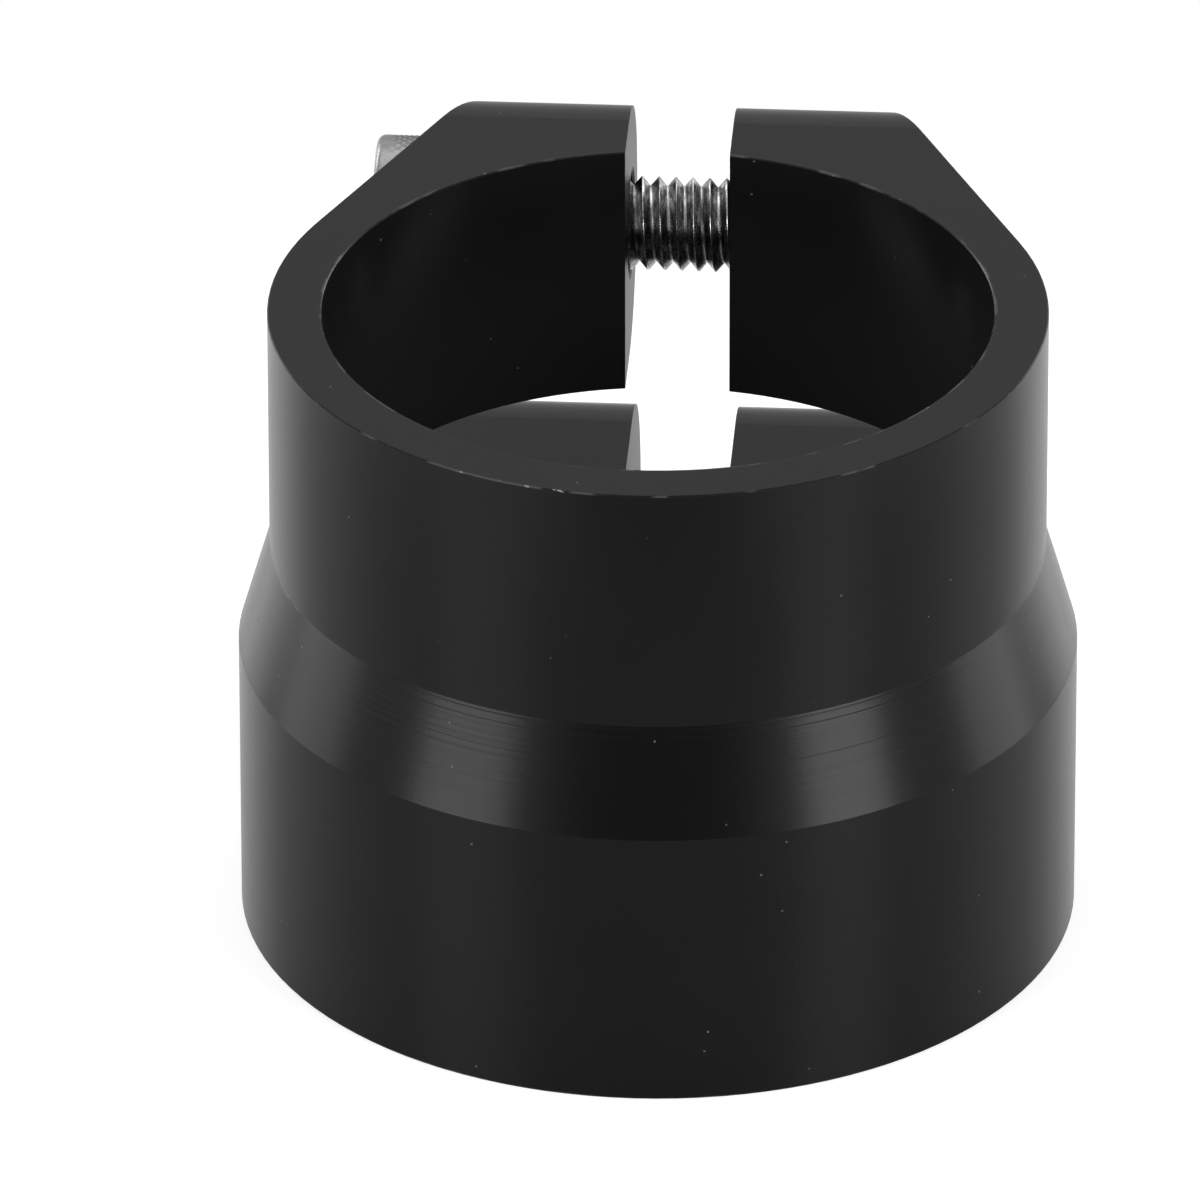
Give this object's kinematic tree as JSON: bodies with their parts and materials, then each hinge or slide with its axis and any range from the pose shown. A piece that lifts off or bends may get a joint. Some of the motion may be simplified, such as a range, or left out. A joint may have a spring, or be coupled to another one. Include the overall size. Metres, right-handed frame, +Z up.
{
  "type": "seatpost clamp",
  "caption": "Twin-ring bicycle seatpost clamp: the upper ring grips the post, the lower ring grips the seat tube, each closed by its own cross screw.",
  "frame": {"origin": "on the axis of both bores, in the bottom face of the lower ring, where the clamp stands", "axes": "+Z up the bores towards the seatpost, +Y towards the ears and slots, -X towards the screw heads"},
  "size_m": [0.0342, 0.0411, 0.027],
  "materials": {
    "anodised_body": "black anodised, satin",
    "screw_steel": "stainless steel, rolled thread and knurled head",
    "washer_steel": "stainless steel, pressed"
  },
  "bodies": {
    "clamp_body": {"clamp_body": "anodised_body"},
    "upper_washer": {"upper_washer": "washer_steel"},
    "upper_screw": {"upper_screw": "screw_steel"},
    "lower_washer": {"lower_washer": "washer_steel"},
    "lower_screw": {"lower_screw": "screw_steel"}
  },
  "joints": [
    {"name": "upper_screw_travel", "type": "slide", "parent": "clamp_body", "child": "upper_washer", "axis": [-1, 0, 0], "range_m": [0, 0.00455]},
    {"name": "upper_screw_turn", "type": "hinge", "parent": "upper_washer", "child": "upper_screw", "pos_m": [0, 0.0177, 0.0215], "axis": [-1, 0, 0], "range_deg": [0, 2340]},
    {"name": "lower_screw_travel", "type": "slide", "parent": "clamp_body", "child": "lower_washer", "axis": [-1, 0, 0], "range_m": [0, 0.00385]},
    {"name": "lower_screw_turn", "type": "hinge", "parent": "lower_washer", "child": "lower_screw", "pos_m": [0, 0.0199, 0.006], "axis": [-1, 0, 0], "range_deg": [0, 1980]}
  ],
  "couplings": [
    {"joint": "upper_screw_turn", "follows": "upper_screw_travel", "rad_per_m": 8976},
    {"joint": "lower_screw_turn", "follows": "lower_screw_travel", "rad_per_m": 8976}
  ]
}
